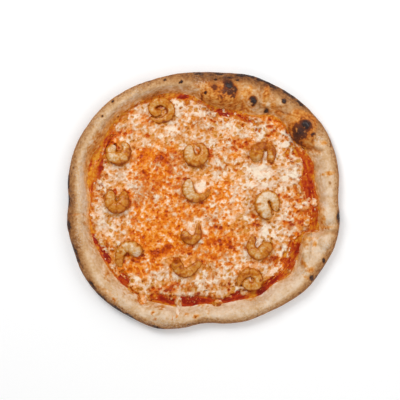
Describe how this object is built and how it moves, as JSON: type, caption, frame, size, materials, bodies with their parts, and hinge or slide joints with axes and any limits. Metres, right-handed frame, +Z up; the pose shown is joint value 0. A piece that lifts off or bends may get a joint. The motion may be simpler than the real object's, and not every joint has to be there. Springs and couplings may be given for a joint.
{
  "type": "shrimp pizza",
  "caption": "Whole round pizza with a puffed, blistered crust, tomato sauce, melted cheese and curled cooked shrimps lying on top.",
  "frame": {"origin": "centre of the box around the pizza, on its flat underside", "axes": "+Z up out of the underside, +X the longest way across"},
  "size_m": [0.2994, 0.2826, 0.0245],
  "materials": {
    "crust": null,
    "sauce": null,
    "cheese": null,
    "shrimp": null
  },
  "bodies": {
    "root": {"crust": "crust", "tomato_sauce": "sauce", "melted_cheese": "cheese", "shrimp_01": "shrimp", "shrimp_02": "shrimp", "shrimp_03": "shrimp", "shrimp_04": "shrimp", "shrimp_05": "shrimp", "shrimp_06": "shrimp", "shrimp_07": "shrimp", "shrimp_08": "shrimp", "shrimp_09": "shrimp", "shrimp_10": "shrimp", "shrimp_11": "shrimp", "shrimp_12": "shrimp"}
  },
  "joints": []
}
